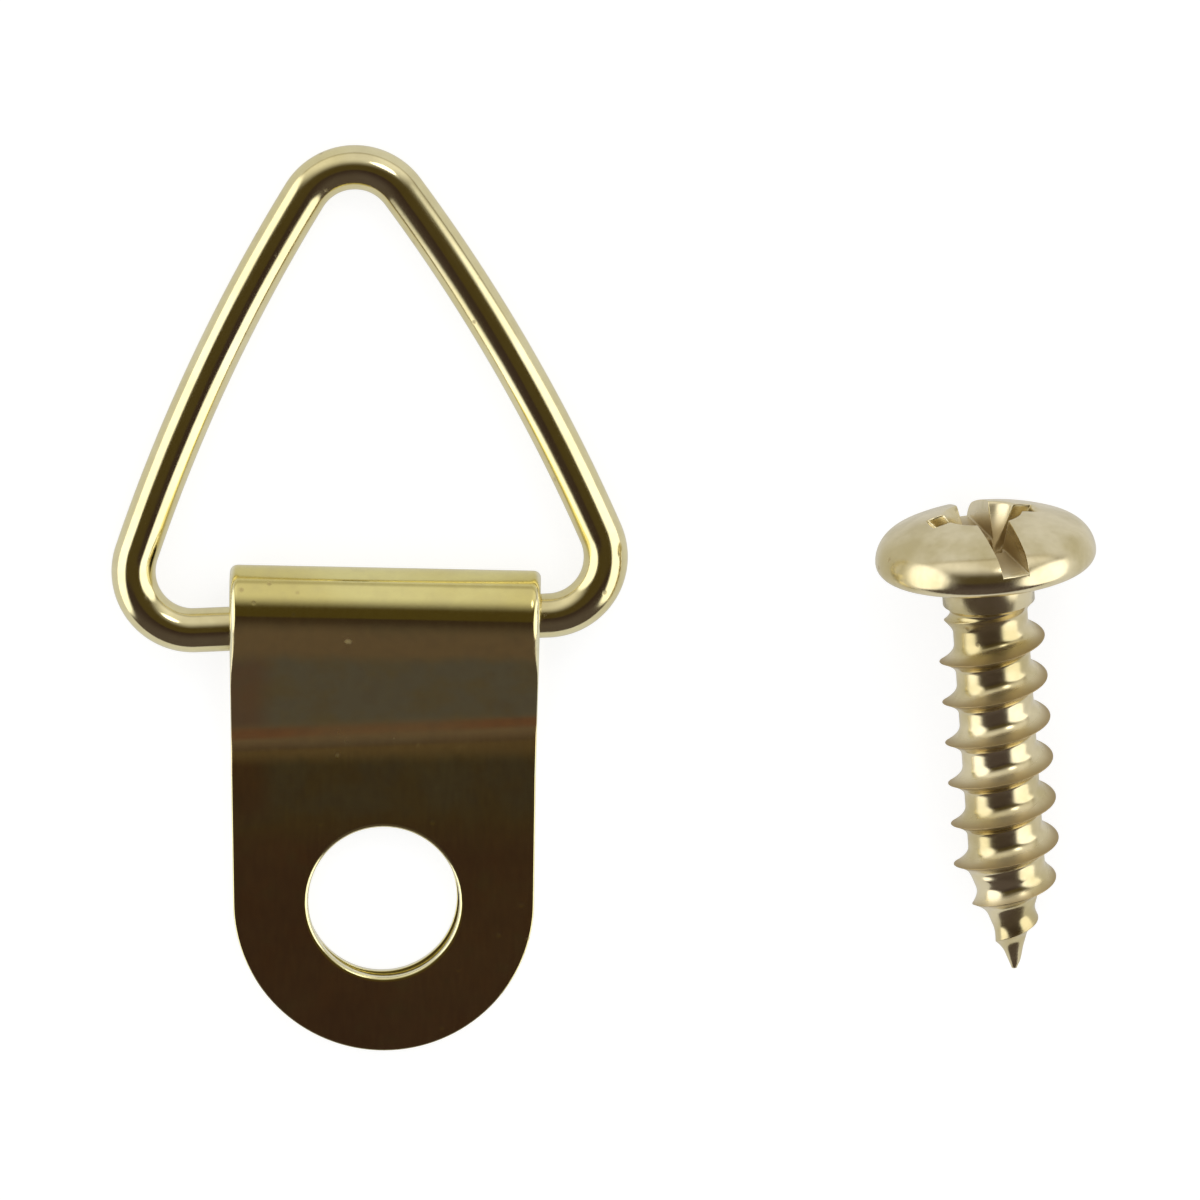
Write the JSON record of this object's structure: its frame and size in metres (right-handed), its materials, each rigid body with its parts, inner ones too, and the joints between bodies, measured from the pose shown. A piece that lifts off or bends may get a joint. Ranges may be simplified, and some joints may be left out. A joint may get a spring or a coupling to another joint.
{
  "type": "d ring picture hanger",
  "caption": "Strap of sheet metal folded round a triangular wire ring and punched for a screw, with its pan-head screw beside it, to hang a frame from wire or a hook.",
  "frame": {"origin": "centre of the screw hole on the back face of the strap, which is the face that lies on the frame", "axes": "+Z along the screw hole, out of the front of the strap; +Y from the screw hole towards the ring; +X to the right, seen from the front"},
  "size_m": [0.0299, 0.0278, 0.0066],
  "materials": {
    "plated_strap": "bright brass plating over steel sheet",
    "plated_wire": "bright brass plating over steel wire",
    "plated_screw": "brass plating over steel, a little duller in the thread"
  },
  "bodies": {
    "strap": {"folded_strap": "plated_strap"},
    "ring": {"triangle_ring": "plated_wire"},
    "screw": {"pan_head_screw": "plated_screw"}
  },
  "joints": [
    {"name": "ring_swing", "type": "hinge", "parent": "strap", "child": "ring", "pos_m": [-0.00033, 0.00865, 0.00114], "axis": [0.9991, 0.0421, 0], "range_deg": [0, 175]},
    {"name": "screw_lift", "type": "slide", "parent": "strap", "child": "screw", "axis": [0, 0, 1], "range_m": [0, 0.015]}
  ]
}
